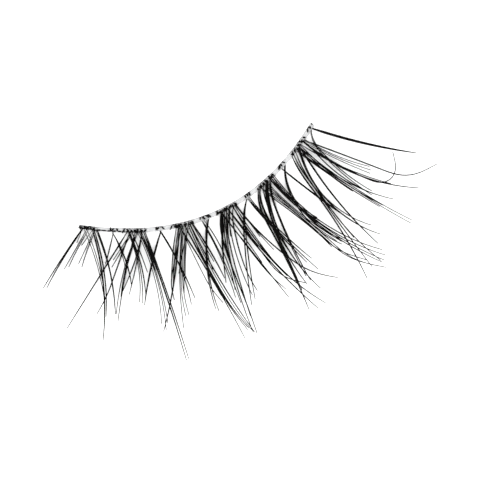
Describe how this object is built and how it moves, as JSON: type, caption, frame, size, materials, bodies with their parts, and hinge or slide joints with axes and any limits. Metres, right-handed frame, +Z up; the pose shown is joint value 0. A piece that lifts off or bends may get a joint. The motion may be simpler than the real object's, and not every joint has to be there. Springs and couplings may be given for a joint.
{
  "type": "false eyelash strip",
  "caption": "Wispy false eyelash strip: a bowed clear band with knots of crossed, tapered lashes that fan out and curl up.",
  "frame": {"origin": "middle of the band's flat underside, at the lowest point of its bow", "axes": "+X to the outer corner of the eye, +Y to the lid that the band is glued on, so the lashes reach to -Y, +Z up off the surface that the strip lies on"},
  "size_m": [0.0458, 0.0193, 0.0059],
  "materials": {
    "clear_band": "clear glossy nylon",
    "lash_fibre": "satin black synthetic fibre"
  },
  "bodies": {
    "root": {"band": "clear_band", "cluster_1": "lash_fibre", "cluster_2": "lash_fibre", "cluster_3": "lash_fibre", "cluster_4": "lash_fibre", "cluster_5": "lash_fibre", "cluster_6": "lash_fibre", "wisp_1": "lash_fibre", "wisp_2": "lash_fibre", "wisp_3": "lash_fibre", "wisp_4": "lash_fibre", "wisp_5": "lash_fibre", "wisp_6": "lash_fibre"}
  },
  "joints": []
}
